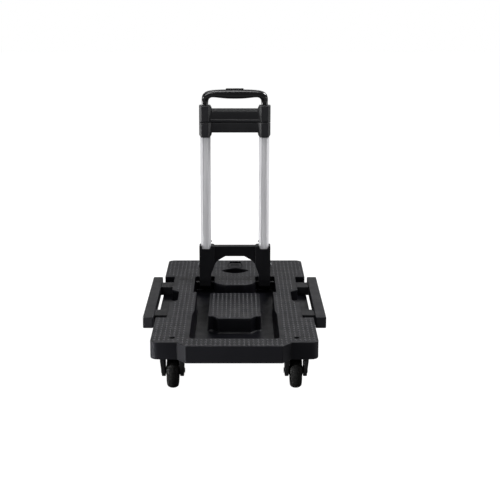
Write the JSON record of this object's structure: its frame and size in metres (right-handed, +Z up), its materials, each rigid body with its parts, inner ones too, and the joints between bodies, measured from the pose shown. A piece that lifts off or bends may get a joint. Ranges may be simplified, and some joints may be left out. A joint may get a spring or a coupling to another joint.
{
  "type": "folding luggage cart",
  "caption": "Folding platform luggage cart with swivel casters, pull-out side wings and a telescopic handle that folds into a channel in the deck.",
  "frame": {"origin": "middle of the bounding box at floor level, on the cart's centre plane", "axes": "+X to the right of the cart, +Y to the rear edge behind the handle, +Z up"},
  "size_m": [0.349, 0.616, 0.5052],
  "materials": {
    "deck_plastic": "fine-textured dark grey polypropylene",
    "handle_plastic": "satin black moulded plastic",
    "grip_plastic": "semi-gloss black moulded plastic",
    "aluminium": "satin anodised extrusion",
    "steel": "zinc-plated",
    "caster_plastic": "black moulded nylon",
    "tyre_rubber": "dull black rubber"
  },
  "bodies": {
    "deck": {"deck_shell": "deck_plastic", "pivot_pin_left": "steel", "pivot_pin_right": "steel", "caster_race_front_left": "steel", "caster_race_front_right": "steel", "caster_race_rear_left": "steel", "caster_race_rear_right": "steel", "caster_kingpin_front_left": "steel", "caster_kingpin_front_right": "steel", "caster_kingpin_rear_left": "steel", "caster_kingpin_rear_right": "steel"},
    "release_lever_body": {"fold_release_lever": "deck_plastic"},
    "handle_base": {"handle_bracket": "handle_plastic", "lower_collar": "handle_plastic", "tube_rivet_left": "steel", "tube_rivet_right": "steel", "outer_tube_left": "aluminium", "outer_tube_right": "aluminium"},
    "middle_stage": {"upper_collar": "handle_plastic", "middle_tube_left": "aluminium", "middle_tube_right": "aluminium", "middle_plug_left": "handle_plastic", "middle_plug_right": "handle_plastic"},
    "inner_stage": {"grip": "grip_plastic", "inner_tube_left": "aluminium", "inner_tube_right": "aluminium", "inner_plug_left": "handle_plastic", "inner_plug_right": "handle_plastic"},
    "button_body": {"grip_button": "grip_plastic", "push_rod_left": "steel", "push_rod_right": "steel"},
    "wing_body_left": {"wing_left": "deck_plastic"},
    "wing_body_right": {"wing_right": "deck_plastic"},
    "swivel_front_left": {"caster_fork_front_left": "caster_plastic", "caster_axle_front_left": "steel"},
    "wheel_front_left": {"wheel_hub_front_left": "caster_plastic", "wheel_tyre_front_left": "tyre_rubber"},
    "swivel_front_right": {"caster_fork_front_right": "caster_plastic", "caster_axle_front_right": "steel"},
    "wheel_front_right": {"wheel_hub_front_right": "caster_plastic", "wheel_tyre_front_right": "tyre_rubber"},
    "swivel_rear_left": {"caster_fork_rear_left": "caster_plastic", "caster_axle_rear_left": "steel"},
    "wheel_rear_left": {"wheel_hub_rear_left": "caster_plastic", "wheel_tyre_rear_left": "tyre_rubber"},
    "swivel_rear_right": {"caster_fork_rear_right": "caster_plastic", "caster_axle_rear_right": "steel"},
    "wheel_rear_right": {"wheel_hub_rear_right": "caster_plastic", "wheel_tyre_rear_right": "tyre_rubber"}
  },
  "joints": [
    {"name": "handle_fold", "type": "hinge", "parent": "deck", "child": "handle_base", "pos_m": [0, 0.154, 0.0905], "axis": [-1, 0, 0], "range_deg": [-90, 0]},
    {"name": "middle_stage_slide", "type": "slide", "parent": "handle_base", "child": "middle_stage", "axis": [0, 0, 1], "range_m": [0, 0.279]},
    {"name": "inner_stage_slide", "type": "slide", "parent": "middle_stage", "child": "inner_stage", "axis": [0, 0, 1], "range_m": [0, 0.279]},
    {"name": "grip_button_press", "type": "slide", "parent": "inner_stage", "child": "button_body", "axis": [0, 0, -1], "range_m": [0, 0.003], "stiffness_N_per_m": 800, "springref_m": -0.002},
    {"name": "release_lever_slide", "type": "slide", "parent": "deck", "child": "release_lever_body", "axis": [0, 1, 0], "range_m": [0, 0.01], "stiffness_N_per_m": 400, "springref_m": -0.004},
    {"name": "left_wing_slide", "type": "slide", "parent": "deck", "child": "wing_body_left", "axis": [-1, 0, 0], "range_m": [-0.0245, 0]},
    {"name": "right_wing_slide", "type": "slide", "parent": "deck", "child": "wing_body_right", "axis": [1, 0, 0], "range_m": [-0.0245, 0]},
    {"name": "swivel_front_left", "type": "hinge", "parent": "deck", "child": "swivel_front_left", "pos_m": [-0.1116, -0.2596, 0.0728], "axis": [0, 0, 1], "continuous": true},
    {"name": "wheel_spin_front_left", "type": "hinge", "parent": "swivel_front_left", "child": "wheel_front_left", "pos_m": [-0.1116, -0.2396, 0.032], "axis": [1, 0, 0], "continuous": true},
    {"name": "swivel_front_right", "type": "hinge", "parent": "deck", "child": "swivel_front_right", "pos_m": [0.1116, -0.2596, 0.0728], "axis": [0, 0, 1], "continuous": true},
    {"name": "wheel_spin_front_right", "type": "hinge", "parent": "swivel_front_right", "child": "wheel_front_right", "pos_m": [0.1116, -0.2396, 0.032], "axis": [1, 0, 0], "continuous": true},
    {"name": "swivel_rear_left", "type": "hinge", "parent": "deck", "child": "swivel_rear_left", "pos_m": [-0.1116, 0.256, 0.0728], "axis": [0, 0, 1], "continuous": true},
    {"name": "wheel_spin_rear_left", "type": "hinge", "parent": "swivel_rear_left", "child": "wheel_rear_left", "pos_m": [-0.1116, 0.276, 0.032], "axis": [1, 0, 0], "continuous": true},
    {"name": "swivel_rear_right", "type": "hinge", "parent": "deck", "child": "swivel_rear_right", "pos_m": [0.1116, 0.256, 0.0728], "axis": [0, 0, 1], "continuous": true},
    {"name": "wheel_spin_rear_right", "type": "hinge", "parent": "swivel_rear_right", "child": "wheel_rear_right", "pos_m": [0.1116, 0.276, 0.032], "axis": [1, 0, 0], "continuous": true}
  ]
}
